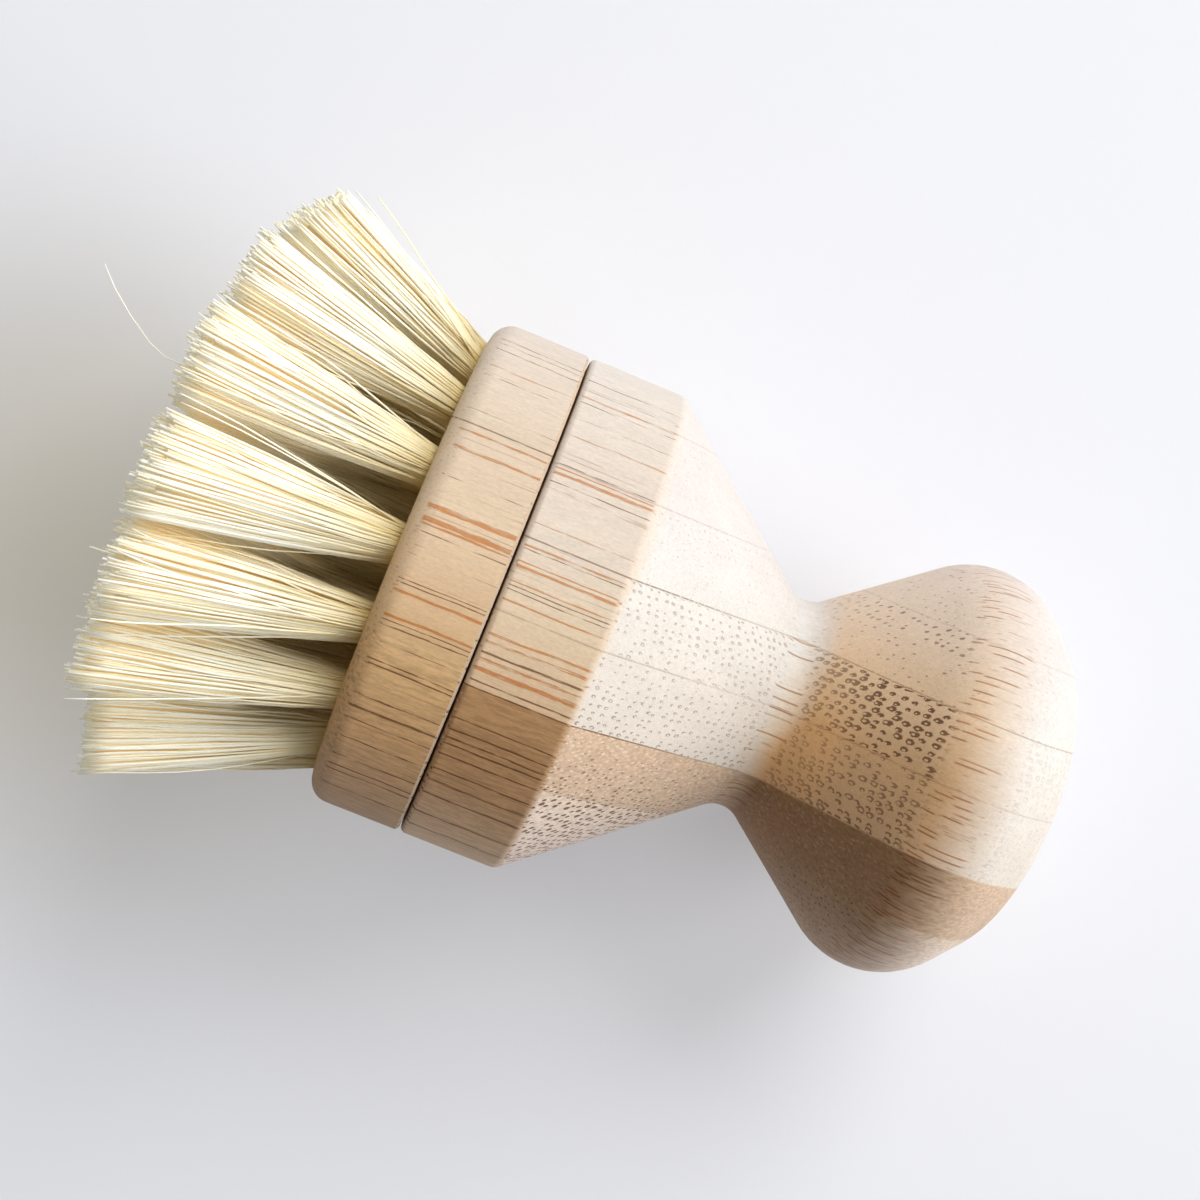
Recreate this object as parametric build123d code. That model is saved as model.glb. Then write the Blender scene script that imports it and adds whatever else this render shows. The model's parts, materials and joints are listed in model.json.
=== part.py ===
from build123d import *
import math
import os

os.makedirs("parts", exist_ok=True)

# A palm brush: a turned bamboo knob with a round bristle head that screws on to it.
# Every piece is made upright on the brush's own axis, Z, with the seam between head and knob at zero,
# the bristles towards -Z and the knob towards +Z. The last section lays the brush down on its side,
# as it is photographed: on two tufts of its outer ring and on the swell of the knob. Sizes in mm.

# Bristle head
block_radius = 25.0
block_thickness = 9.5
face_round = 2.1
back_chamfer = 0.25

# Handle outline, from the seam up: the corners where its straight stretches would meet, each placed
# from the one before it, and the round at each corner
band_height = 10.0
band_round = 1.2
seam_round = 0.6
cone_rise = 19.0
neck_corner_radius = 10.2
neck_round = 3.2
swell_rise = 18.1
swell_corner_radius = 24.1
swell_round = 8.4
crown_rise = 9.0
crown_inset = 9.5
crown_round = 7.6
crown_bulge = 1.9

# The rim of the handle's seam face stands back a little, which leaves the dark parting line
rim_width = 4.5
rim_relief = 0.25

# Threaded joint of the head
stud_crest_radius = 2.5
stud_thread_depth = 0.35
stud_pitch = 0.8
stud_end_gap = 0.6
stud_wood_crest_radius = 2.9
stud_wood_depth = 0.7
stud_wood_pitch = 2.4
stud_wood_length = 16.0
stud_tip_length = 1.6
running_clearance = 0.05
insert_wall = 0.75
insert_barb_height = 0.35
insert_barb_pitch = 1.1
insert_floor = 2.6
flange_overhang = 0.9
flange_thickness = 0.8
hole_end_gap = 0.3

# Tuft holes, in three evenly spaced rings between the rim and the insert
hole_spacing_share = 0.34
hole_floor = 3.0
rim_margin = 5.8
insert_to_hole = 0.9
outer_count = 17
middle_count = 12
inner_count = 6
outer_lean = 23.5
middle_lean = 15.5
inner_lean = 7.5
swirl_angle = 6.0

# Tufts: a root plug of folded fibre in the hole, and strands that fan out to the trimmed end
bristle_length = 20.9
plug_clearance = 0.05
plug_recess = 1.0
strand_grip = 0.8
strand_side_share = 0.3
strand_root_share = 0.7
strand_tip_share = 1.5
strand_ring_counts = (1, 4, 9)
strand_ring_shares = (0.0, 0.5, 1.0)
strand_ring_turns = (0.0, 45.0, 0.0)
resting_flat = 0.5
full_turn = 360.0

# Flat wire anchors that hold each tuft down in its hole
anchor_bite = 0.15
anchor_height = 2.0
anchor_thickness = 0.4
anchor_clearance = 0.05
anchor_lift = 0.5

# One overrun serves every cut
overrun = 1.0

# Handle heights and radii that follow from these
neck_corner_height = band_height + cone_rise
swell_corner_height = neck_corner_height + swell_rise
crown_corner_radius = swell_corner_radius - crown_inset
crown_corner_height = swell_corner_height + crown_rise
handle_height = crown_corner_height + crown_bulge
land_radius = block_radius - rim_width

# Joint sizes that follow
face_height = -block_thickness
seat_depth = block_thickness - insert_floor
insert_length = seat_depth - hole_end_gap
stud_reach = insert_length - stud_end_gap
stud_bore_radius = stud_crest_radius + running_clearance
insert_radius = stud_bore_radius + insert_wall
insert_barb_radius = insert_radius + insert_barb_height
flange_radius = insert_barb_radius + flange_overhang
wood_root_radius = stud_wood_crest_radius - stud_wood_depth

# Ring sizes that follow. The holes lean outwards, so the innermost ones come nearest to the insert at
# their bottoms. The wood left there sets the inner ring, and the holes take their size from the spacing.
hole_depth = block_thickness - hole_floor
inner_slope = math.radians(inner_lean)
inner_clear_radius = insert_barb_radius + insert_to_hole + hole_depth * math.tan(inner_slope)
outer_ring_radius = block_radius - rim_margin
ring_spacing = (outer_ring_radius - inner_clear_radius) / (2 + hole_spacing_share / math.cos(inner_slope))
middle_ring_radius = outer_ring_radius - ring_spacing
inner_ring_radius = middle_ring_radius - ring_spacing
hole_radius = ring_spacing * hole_spacing_share
strand_side = hole_radius * strand_side_share
strand_root_spread = hole_radius * strand_root_share
strand_tip_spread = hole_radius * strand_tip_share


# Solids of revolution

def turned_curve(curve, rounds=()):
    """Turn a closed curve of the radius and height plane about Z, rounding the listed corners first."""
    face = make_face(Plane.XZ * curve)
    for corner, radius in rounds:
        spot = Vector(corner[0], 0, corner[1])
        nearest = face.vertices().sort_by_distance(spot)[0]
        face = fillet(nearest, radius)
    return revolve(face, Axis.Z)


def turned(outline, rounds=()):
    """Turn a closed outline of (radius, height) points about Z."""
    return turned_curve(Curve() + Polyline(*outline, close=True), rounds)


def thread_outline(crest, depth, pitch, start, end):
    """Points of a zigzag of thread crests and roots from one height to another."""
    turns = max(1, round(abs(end - start) / pitch))
    step = (end - start) / turns
    points = []
    for turn in range(turns):
        points.append((crest - depth, start + turn * step))
        points.append((crest, start + (turn + 0.5) * step))
    points.append((crest - depth, end))
    return points


# Handle

def make_handle():
    """The knob, neck, cone and band, turned from one laminated bamboo blank."""
    band_corner = (block_radius, band_height)
    neck_corner = (neck_corner_radius, neck_corner_height)
    swell_corner = (swell_corner_radius, swell_corner_height)
    crown_corner = (crown_corner_radius, crown_corner_height)
    seam_corner = (block_radius, rim_relief)
    side = Polyline((0, 0), (land_radius, 0), seam_corner, band_corner, neck_corner, swell_corner,
                    crown_corner)
    crown = TangentArc((0, handle_height), crown_corner, tangent=(1, 0))
    middle = Line((0, handle_height), (0, 0))
    rounds = (
        (seam_corner, seam_round),
        (band_corner, band_round),
        (neck_corner, neck_round),
        (swell_corner, swell_round),
        (crown_corner, crown_round),
    )
    body = turned_curve(Curve() + [side, crown, middle], rounds)
    pilot_depth = stud_wood_length + hole_end_gap
    pilot_bottom = -overrun
    pilot = turned([(0, pilot_bottom), (wood_root_radius, pilot_bottom), (wood_root_radius, pilot_depth),
                    (0, pilot_depth)])
    return body - pilot


# Threaded joint

def make_stud():
    """A steel hanger bolt: wood thread up in the handle, machine thread down in the head."""
    machine = thread_outline(stud_crest_radius, stud_thread_depth, stud_pitch, -stud_reach, 0)
    wood_end = stud_wood_length - stud_tip_length
    wood = thread_outline(stud_wood_crest_radius, stud_wood_depth, stud_wood_pitch, 0, wood_end)
    outline = [(0, -stud_reach)] + machine + wood + [(0, stud_wood_length)]
    return turned(outline)


def make_insert():
    """A brass insert driven into the back of the head, for the stud to screw into."""
    barbs = thread_outline(insert_barb_radius, insert_barb_height, insert_barb_pitch, -insert_length,
                           -flange_thickness)
    outline = [(stud_bore_radius, -insert_length)] + barbs + [
        (flange_radius, -flange_thickness), (flange_radius, 0), (stud_bore_radius, 0)]
    return turned(outline)


# Bristle block

def make_tuft_frame(ring_radius, lean, tip_polar):
    """The mouth of one tuft hole, the way its tuft points, and the polar angle of the mouth.

    The tuft leans outwards by its ring's angle and a little round the ring. Tufts are told apart by
    the polar angle of their trimmed ends, so the mouth is turned back from that by the swirl.
    """
    outward = math.tan(math.radians(lean))
    around = math.tan(math.radians(swirl_angle))
    tip_out = ring_radius + bristle_length * outward
    tip_around = bristle_length * around
    polar = math.radians(tip_polar) - math.atan2(tip_around, tip_out)
    radial = Vector(math.cos(polar), math.sin(polar), 0)
    tangent = Vector(-math.sin(polar), math.cos(polar), 0)
    mouth = radial * ring_radius + Vector(0, 0, face_height)
    way = radial * outward + tangent * around - Vector(0, 0, 1)
    return mouth, way, polar


def tuft_places():
    """Name, mouth, way and polar angle of every tuft, ring by ring."""
    rings = (
        ("outer", outer_count, outer_ring_radius, outer_lean),
        ("middle", middle_count, middle_ring_radius, middle_lean),
        ("inner", inner_count, inner_ring_radius, inner_lean),
    )
    places = []
    for ring, count, ring_radius, lean in rings:
        for index in range(count):
            tip_polar = full_turn / 2 + full_turn * index / count
            mouth, way, polar = make_tuft_frame(ring_radius, lean, tip_polar)
            places.append((f"tuft_{ring}_{index + 1:02d}", mouth, way, polar))
    return places


def along_hole(mouth, way, depth):
    """A plane across the hole's axis, this far below its mouth, with its normal out of the hole."""
    normal = way.normalized()
    return Plane(origin=mouth - normal * depth, z_dir=normal, x_dir=normal.cross(Vector(0, 0, 1)))


def hole_run(way):
    """Length along a leaning hole that reaches the hole's depth below the face."""
    return hole_depth * way.length


def make_block(places):
    """The round bristle block, drilled for the tufts and counterbored for the insert."""
    outline = [(0, 0), (block_radius - back_chamfer, 0), (block_radius, -back_chamfer),
               (block_radius, face_height), (0, face_height)]
    block = turned(outline, [((block_radius, face_height), face_round)])
    seat = turned([(0, overrun), (flange_radius + running_clearance, overrun),
                   (flange_radius + running_clearance, -flange_thickness),
                   (insert_radius, -flange_thickness), (insert_radius, -seat_depth), (0, -seat_depth)])
    drills = []
    for name, mouth, way, polar in places:
        length = hole_run(way)
        start = along_hole(mouth, way, length)
        drill = Solid.make_cylinder(hole_radius, length + overrun + hole_radius, start)
        drills.append(drill)
    return block.cut(seat.solid(), *drills)


# Tufts and anchors

def anchor_box(mouth, way, width, thickness, height):
    """A flat plate on edge across a hole, near its bottom."""
    depth = hole_run(way) - anchor_lift - anchor_height / 2
    return along_hole(mouth, way, depth).location * Box(width, thickness, height)


def make_anchors(places):
    """All the wire anchors, one across the foot of each tuft, as separate solids of one node."""
    width = 2 * (hole_radius + anchor_bite)
    plates = []
    for name, mouth, way, polar in places:
        plates.append(anchor_box(mouth, way, width, anchor_thickness, anchor_height).solid())
    return Compound(plates)


def make_strand(mouth, way, polar, turn, share):
    """One straight four-sided strand, cut flat at the trimmed end, level with its neighbours."""
    root_depth = (plug_recess + strand_grip) / way.length
    angle = polar + math.radians(turn)
    offset = Vector(math.cos(angle), math.sin(angle), 0) * share
    root = mouth - way * root_depth + offset * strand_root_spread
    tip = mouth + way * bristle_length + offset * strand_tip_spread
    half = strand_side / 2
    corners = []
    for quarter in range(4):
        corner_angle = angle + math.radians(45 + 90 * quarter)
        reach = half * math.sqrt(2)
        corners.append(root + Vector(math.cos(corner_angle), math.sin(corner_angle), 0) * reach)
    section = Face(Wire.make_polygon(corners, close=True))
    return Solid.extrude(section, tip - root)


def make_tuft(mouth, way, polar):
    """A root plug seated on the hole's bottom, slotted for its anchor, fused with its strands."""
    length = hole_run(way)
    start = along_hole(mouth, way, length)
    plug = Solid.make_cylinder(hole_radius - plug_clearance, length - plug_recess, start)
    slot = anchor_box(mouth, way, 2 * hole_radius, anchor_thickness + 2 * anchor_clearance,
                      anchor_height + 2 * anchor_clearance)
    plug = plug.cut(slot.solid())
    strands = []
    for count, share, first_turn in zip(strand_ring_counts, strand_ring_shares, strand_ring_turns):
        for index in range(count):
            turn = first_turn + full_turn * index / count
            strands.append(make_strand(mouth, way, polar, turn, share))
    return plug.fuse(*strands)


# Lying down

def round_centre(before, corner, after, radius):
    """Centre of the round that a fillet of this radius puts in a corner of the outline."""
    corner = Vector(*corner)
    back = (Vector(*before) - corner).normalized()
    forward = (Vector(*after) - corner).normalized()
    half_angle = math.radians(back.get_angle(forward)) / 2
    return corner + (back + forward).normalized() * (radius / math.sin(half_angle))


def lying_tilt():
    """Angle by which the brush's axis falls towards the knob when it lies on its side.

    The floor touches the swell's round and cuts the two lowest tufts of the outer ring flat.
    """
    centre = round_centre((neck_corner_radius, neck_corner_height),
                          (swell_corner_radius, swell_corner_height),
                          (crown_corner_radius, crown_corner_height), swell_round)
    half_pitch = math.radians(full_turn / outer_count / 2)
    around = bristle_length * math.tan(math.radians(swirl_angle))
    outward = outer_ring_radius + bristle_length * math.tan(math.radians(outer_lean))
    tip_ring_radius = math.hypot(outward, around)
    rest_radius = ((tip_ring_radius + strand_tip_spread) * math.cos(half_pitch)
                   + strand_side / 2 - resting_flat)
    rise = rest_radius - centre.X
    run = centre.Y + block_thickness + bristle_length
    return math.degrees(math.acos(swell_round / math.hypot(rise, run)) - math.atan2(run, rise))


def lay_down(pieces):
    """Lay the pieces on their side on the floor, tufts cut flat there, origin under their middle."""
    tilt = lying_tilt()
    lying = {name: Rot(0, 90 + tilt, 0) * piece for name, piece in pieces.items()}
    floor_height = lying["handle_knob"].bounding_box().min.Z
    size = 4 * (handle_height + block_thickness + bristle_length)
    ground = Pos(0, 0, floor_height - size / 2) * Box(size, size, size)
    for name, piece in lying.items():
        if name.startswith("tuft_outer") and piece.bounding_box().min.Z < floor_height:
            lying[name] = piece - ground
    box = Compound([solid for piece in lying.values() for solid in piece.solids()]).bounding_box()
    shift = Pos(-box.center().X, -box.center().Y, -floor_height)
    print("tilt", round(tilt, 3), "degrees; box", box.size)
    print("seam centre", shift * Location((0, 0, 0)))
    return {name: shift * piece for name, piece in lying.items()}


places = tuft_places()
pieces = {
    "handle_knob": make_handle(),
    "joining_stud": make_stud(),
    "threaded_insert": make_insert(),
    "head_block": make_block(places),
    "tuft_anchors": make_anchors(places),
}
for name, mouth, way, polar in places:
    pieces[name] = make_tuft(mouth, way, polar)

for name, piece in lay_down(pieces).items():
    export_step(piece, f"parts/{name}.step")
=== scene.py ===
# %% [markdown]
# # A bamboo palm brush
#
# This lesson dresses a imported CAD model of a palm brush, the small round pot scrubber that is held by a
# turned knob. The CAD model brings every piece at its real size and place. Blender's work is the finish:
# the bamboo of the handle and the head, the bundles of plant fibre, and the small metal parts inside.
# The frame is loaded first, because every later step measures itself on it.

# %% Load the frame
import json
import math
from functools import partial
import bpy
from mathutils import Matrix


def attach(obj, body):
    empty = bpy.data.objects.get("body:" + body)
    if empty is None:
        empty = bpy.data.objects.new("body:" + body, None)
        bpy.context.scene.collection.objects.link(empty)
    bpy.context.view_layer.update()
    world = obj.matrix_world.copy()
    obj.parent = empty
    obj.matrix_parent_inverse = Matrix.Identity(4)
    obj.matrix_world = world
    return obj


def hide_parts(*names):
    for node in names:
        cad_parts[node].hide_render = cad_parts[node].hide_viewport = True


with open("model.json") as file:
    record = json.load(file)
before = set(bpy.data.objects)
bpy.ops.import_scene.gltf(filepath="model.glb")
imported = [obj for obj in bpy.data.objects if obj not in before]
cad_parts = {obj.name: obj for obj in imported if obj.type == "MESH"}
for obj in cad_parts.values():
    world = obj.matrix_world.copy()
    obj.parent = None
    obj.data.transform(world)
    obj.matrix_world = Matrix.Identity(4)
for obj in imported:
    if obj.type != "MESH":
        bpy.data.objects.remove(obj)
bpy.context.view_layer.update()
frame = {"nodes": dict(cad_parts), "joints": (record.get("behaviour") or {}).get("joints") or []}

from types import SimpleNamespace

import bpy
import numpy as np
from mathutils import Euler, Vector

# %% [markdown]
# ## Small helpers
#
# Colours are written as the sRGB hex values that a colour picker shows, and one function turns them to the
# linear values that the shaders work in. A second function adds a shader node: a keyword sets one of the
# node's properties, and each input is either linked to an earlier node or gets a plain value. With these
# two, a material reads as a list of steps. Lengths are in metres, so a millimetre gets a name.

# %% Helpers
MM = 0.001


def colour(hex_text):
    """Linear RGBA of an sRGB hex colour such as #d8b48a."""
    values = [int(hex_text[i:i + 2], 16) / 255 for i in (1, 3, 5)]
    linear = [v / 12.92 if v <= 0.04045 else ((v + 0.055) / 1.055) ** 2.4 for v in values]
    return (*linear, 1.0)


# A Map Range node that eases in and out
EASE = "MapRange SMOOTHSTEP"
# The setting that picks what a node does, for the kinds that have several uses
MODES = {"Math": "operation", "VectorMath": "operation", "Mix": "data_type", "Mapping": "vector_type",
         "MapRange": "interpolation_type", "TexVoronoi": "voronoi_dimensions"}


def add_node(tree, kind, inputs=(), **settings):
    """Add a shader node of a kind, such as "Mix" or "Math ADD", with its settings and inputs. A list fills
    the sockets that the node shows, from the top; a dictionary names them. A node or a socket is linked,
    else the value is set."""
    kind, _, mode = kind.partition(" ")
    if mode:
        settings[MODES[kind]] = mode
    node = tree.nodes.new("ShaderNode" + kind)
    for name, value in settings.items():
        setattr(node, name, value)
    if isinstance(inputs, dict):
        pairs = [(node.inputs[name], value) for name, value in inputs.items()]
    else:
        pairs = zip([socket for socket in node.inputs if socket.enabled], inputs)
    for socket, value in pairs:
        if isinstance(value, bpy.types.Node):
            value = next(output for output in value.outputs if output.enabled)
        if isinstance(value, bpy.types.NodeSocket):
            tree.links.new(value, socket)
        else:
            socket.default_value = value
    return node


def product(add, *values, kind="Math"):
    """Values multiplied together, one node for each step; with kind="VectorMath" channel by channel."""
    total, *rest = values
    for value in rest:
        total = add(kind + " MULTIPLY", [total, value])
    return total


def new_material(name):
    """An empty node material, and add_node for its tree."""
    material = bpy.data.materials.new(name)
    material.use_nodes = True
    tree = material.node_tree
    tree.nodes.clear()
    return material, partial(add_node, tree)


print("one mm is", MM, "m; mid grey #808080 is", round(colour("#808080")[0], 3), "linear")

# %% [markdown]
# ## The camera
#
# The brush was photographed from almost straight above, from about 20 cm, so its near parts look a good
# deal larger than its far ones. The place and the lens come from fitting the outline of a turned body to
# the photograph. The lens is given in pixels of the square frame and turned into millimetres of a 36 mm
# sensor, and the turn about the view line lets the brush lie slanting in the frame.

# %% Camera
FRAME_PIXELS = 1200
FOCAL_PIXELS = 1797.5
SENSOR = 36.0
camera_place = Vector((6.87, 4.01, 203.82)) * MM
camera_turn = (0.88, 2.73, 22.21)

camera_data = bpy.data.cameras.new("camera")
camera_data.sensor_width = SENSOR
camera_data.lens = FOCAL_PIXELS * SENSOR / FRAME_PIXELS
camera_data.clip_start = 0.01
camera_data.clip_end = 10.0
camera = bpy.data.objects.new("camera", camera_data)
camera.location = camera_place
camera.rotation_euler = Euler([math.radians(angle) for angle in camera_turn], "XYZ")
bpy.context.scene.collection.objects.link(camera)
bpy.context.scene.camera = camera
print("camera height", round(camera_place.z / MM), "mm, lens", round(camera_data.lens, 1), "mm")

# %% [markdown]
# ## Light
#
# The light in the photograph is daylight. The bright sides of the brush face right and up in the frame,
# the lower left sides are in shade, and the shadows are soft. Two large area lamps give that: one low on
# the right for the window, and one higher, further round, for its reflection in the room. Lamps that are
# large for their distance give shadows with no hard edge. The world adds the rest of the room, a little
# brighter on the window's side, which a dot product with the window's direction gives. The lamps are set
# so that an upward face gets about as much light as makes a colour render as it is written.

# %% Light
LAMP_DISTANCE = 1.2
LAMP_SIZE = 0.8
# Lamps: compass angle from +X, height angle, both in degrees, and power in watts
LAMPS = {"window": (10, 22, 8.6), "bright_wall": (70, 37, 11.2)}
ROOM_STRENGTH = 0.30
ROOM_SLOPE = (0.13, 0.08, 0.0)


def direction(compass, height):
    """Unit vector for a compass angle from +X and a height angle, in degrees."""
    turn, lift = math.radians(compass), math.radians(height)
    return Vector((math.cos(turn) * math.cos(lift), math.sin(turn) * math.cos(lift), math.sin(lift)))


for name, (compass, height, power) in LAMPS.items():
    lamp_data = bpy.data.lights.new(name, "AREA")
    lamp_data.shape = "SQUARE"
    lamp_data.size = LAMP_SIZE
    lamp_data.energy = power
    lamp = bpy.data.objects.new(name, lamp_data)
    lamp.location = direction(compass, height) * LAMP_DISTANCE
    lamp.rotation_euler = lamp.location.to_track_quat("Z", "Y").to_euler()
    bpy.context.scene.collection.objects.link(lamp)
    print(name, "at", [round(value, 2) for value in lamp.location])

world = bpy.data.worlds.new("room")
bpy.context.scene.world = world
world.use_nodes = True
tree = world.node_tree
tree.nodes.clear()
add = partial(add_node, tree)
way = add("TexCoord").outputs["Generated"]
slope = add("VectorMath DOT_PRODUCT", [way, ROOM_SLOPE])
level = add("Math ADD", [slope, ROOM_STRENGTH])
add("OutputWorld", [add("Background", {"Color": (1, 1, 1, 1), "Strength": level})])
bpy.context.scene.view_settings.view_transform = "Standard"

# %% [markdown]
# ## The table
#
# The brush lies on a plain white table top. A flat sheet does for it. Its material is a matte white with
# hardly any gloss. The top in the photograph is a cool white, with a warmer and darker patch at the left
# where the bristles and the photographer keep the sky off it, so the patch is painted shade: two whites
# are mixed by distance from that place. The camera's exposure has lifted the shadow: Light Path tells
# camera rays apart, and for them a quarter of the sheet glows in its own colour. The brush still receives
# only the light that the sheet really bounces.

# %% Table
TABLE_SIZE = 2.0
SHADE_CENTRE = (-0.064, -0.016, 0.0)
SHADE_REACH = 0.055
LIFT = 0.27
GLOW = 0.95
half = TABLE_SIZE / 2
table_mesh = bpy.data.meshes.new("table")
table_mesh.from_pydata([(-half, -half, 0), (half, -half, 0), (half, half, 0), (-half, half, 0)], [],
                       [(0, 1, 2, 3)])
table = bpy.data.objects.new("table", table_mesh)
bpy.context.scene.collection.objects.link(table)

table_white, add = new_material("matte_white_table_top_with_painted_shade")
place = add("TexCoord").outputs["Object"]
distance = add("VectorMath DISTANCE", [place, SHADE_CENTRE])
share = add(EASE, [distance, 0.0, SHADE_REACH])
# Painted shade: a warmer, darker white where the bristles and the photographer keep the sky off the top
white_with_painted_shade = add("Mix RGBA", [share, colour("#d6d1c6"), colour("#f5f6fb")])
matte = add("BsdfPrincipled", {"Base Color": white_with_painted_shade, "Roughness": 0.7, "Specular IOR Level": 0.2})
glow = add("Emission", {"Color": white_with_painted_shade, "Strength": GLOW})
ray = add("LightPath").outputs
seen = add("Math MAXIMUM", [ray["Is Camera Ray"], ray["Is Glossy Ray"]])
seen = add("Math MAXIMUM", [seen, ray["Is Transmission Ray"]])
add("OutputMaterial", [add("MixShader", [product(add, seen, LIFT), matte, glow])])
table.data.materials.append(table_white)
print("table:", TABLE_SIZE, "m wide,", LIFT, "of it lifted for the camera")

# %% [markdown]
# ## The brush's own axes
#
# The brush lies on its side with its axis falling a little towards the knob. Bamboo grain and bristles
# both follow that axis, so the next steps work in the brush's own frame: u runs along the axis from the
# seam towards the knob, v across it and level, w across it and up. The tilt comes from the joint's axis,
# which is the normal of the handle's flat seam face; the centre of that face is measured on the CAD handle.

# %% Brush axes
handle = frame["nodes"]["handle_knob"]
block = frame["nodes"]["head_block"]


def seam_plane(node):
    """Centre of the handle's flat seam face, the faces that look along the joint's axis, and that axis as
    normal.
    """
    joint_axis = Vector(frame["joints"][0]["axis"]).normalized()
    total, centre = 0.0, Vector()
    for face in node.data.polygons:
        if face.normal.dot(joint_axis) > 0.9999:
            total += face.area
            centre += face.area * face.center
    return centre / total, joint_axis


seam_centre, bristle_way = seam_plane(handle)
axis_u = -bristle_way
axis_v = Vector((0, 1, 0))
axis_w = axis_u.cross(axis_v)
axes = np.array([axis_u, axis_v, axis_w])
tilt = math.atan2(-axis_u.z, axis_u.x)
print("seam centre", seam_centre, "tilt", round(math.degrees(tilt), 2), "degrees")


def to_brush(points):
    """Points of the row frame in the brush's own u, v and w, in metres."""
    return (np.asarray(points) - np.array(seam_centre)) @ axes.T


def from_brush(points):
    """Points given in u, v and w, back in the row frame."""
    return np.asarray(points) @ axes + np.array(seam_centre)


# %% [markdown]
# ## Bamboo
#
# Bamboo board is glued up from strips about 7 mm thick, and the blank is turned with its grain along the
# axis. Each strip is full of fibre bundles, threads half a millimetre thick that run with the grain. Where
# the turned surface cuts across them, on the cone and the knob, a bundle shows as a brown ring with a pale
# heart. Where the surface lies along the grain, at the neck and on the crown, the same bundle shows as a
# short orange-brown dash. So the pattern is drawn once, as a solid: a Voronoi pattern over v and w only
# makes threads along u, and the shape of the turned surface does the rest. A picture wrapped round the
# surface, or one pattern for each region, couldn't make the two meet as they do on real wood.
#
# The strips differ. Each has its own tone and its own size of bundle, and its bundles crowd towards the
# side that was nearer to the bamboo's skin. Colour ramps over v carry these values, with two stops for
# each strip, so that they jump at the glue lines. The long streaks of the two rims stand in tables,
# because anybody who knows the brush would miss them; chance draws all the rest.

# %% Strips of the handle and the head
# Tones across the strips: v in mm, then the tone on the band, the tone where the lathe cut the grain on
# the cone and the crown, and the tone on the neck and the flank. The cut tone is paler, mostly as painted
# highlight, since the cone and the crown face the light; the neck and flank tone is darker as painted
# shade, since they face away from it. The lower strips lie on the brush's shaded side, and their tones are
# darker partly by their own colour and partly by painted shade. Two stops at nearly one place make a step.
HANDLE_TONES = (
    (-26.0, "#ceb395", "#d9c8bc", "#d6baa1"),
    (-15.0, "#bf9367", "#ead6c5", "#a8876a"),
    (-12.9, "#bf9367", "#e3cdb6", "#a6835f"),
    (-12.85, "#bd9265", "#d4b79b", "#a27c5a"),
    (-6.25, "#ba8f63", "#d4b79b", "#906d4a"),
    (-6.2, "#e7c59f", "#e2d8cb", "#d1aa81"),
    (0.85, "#e3cbac", "#d9d0c5", "#cba377"),
    (7.5, "#dbcbb9", "#d5d0c9", "#dabb98"),
    (14.2, "#d2c3b4", "#d0c8c3", "#dac5b0"),
    (26.0, "#d3cabf", "#cdc4bf", "#d7c9c0"),
)
# The head is all band, so one tone does for all three. Its lowest strip lies on the shaded side and is
# darker partly by its own colour and partly by painted shade.
HEAD_TONES = [(v, tone, tone, tone) for v, tone in (
    (-26.0, "#a38569"), (-15.0, "#d7aa78"), (-8.0, "#ddb481"), (-0.8, "#dfbe98"), (6.1, "#d9c1a4"),
    (13.1, "#cdb9a2"), (26.0, "#d2c6ba"))]
# For each strip: v of its lower side in mm, spacing of its bundles in mm, share of cells with a pale
# fleck; then at its lower and at its upper side the share of bundles present, their radius in mm, the
# share of it that the pale heart takes, and how dark they are.
HANDLE_BUNDLES = (
    (-26.0, 0.66, 0.0, (0.90, 0.18, 0.05, 1.00), (0.90, 0.18, 0.05, 1.00)),
    (-12.9, 0.50, 0.7, (0.75, 0.13, 0.05, 0.90), (0.10, 0.08, 0.05, 0.45)),
    (-6.2, 0.68, 0.0, (1.00, 0.25, 0.50, 0.80), (0.75, 0.19, 0.50, 0.58)),
    (0.85, 0.71, 0.0, (0.85, 0.25, 0.48, 0.90), (1.00, 0.23, 0.22, 1.00)),
    (7.5, 0.74, 0.0, (0.25, 0.08, 0.05, 0.50), (0.95, 0.14, 0.05, 0.75)),
    (14.2, 0.74, 0.0, (0.35, 0.08, 0.05, 0.50), (0.60, 0.12, 0.05, 0.60)),
    (20.8, 0.74, 0.0, (0.60, 0.10, 0.05, 0.50), (0.60, 0.12, 0.05, 0.50)),
)
HEAD_BUNDLES = (
    (-26.0, 0.66, 0.0, (0.60, 0.15, 0.20, 0.80), (0.80, 0.18, 0.20, 0.85)),
    (-8.0, 0.66, 0.0, (0.60, 0.15, 0.20, 0.80), (0.85, 0.20, 0.20, 0.90)),
    (-0.8, 0.66, 0.0, (0.60, 0.16, 0.20, 0.85), (0.95, 0.24, 0.20, 1.00)),
    (6.1, 0.66, 0.0, (0.60, 0.16, 0.20, 0.85), (0.90, 0.22, 0.20, 1.00)),
    (13.4, 0.66, 0.0, (0.60, 0.20, 0.10, 0.90), (0.70, 0.24, 0.10, 0.90)),
)
# Glue lines: v in mm and how dark each one is
HANDLE_LINES = ((-6.2, 1.0), (0.85, 0.40), (7.5, 0.80), (14.2, 0.30), (20.8, 0.20))
HEAD_LINES = ((13.44, 0.85), (6.4, 0.1), (-0.8, 0.1), (-8.0, 0.1))
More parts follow.
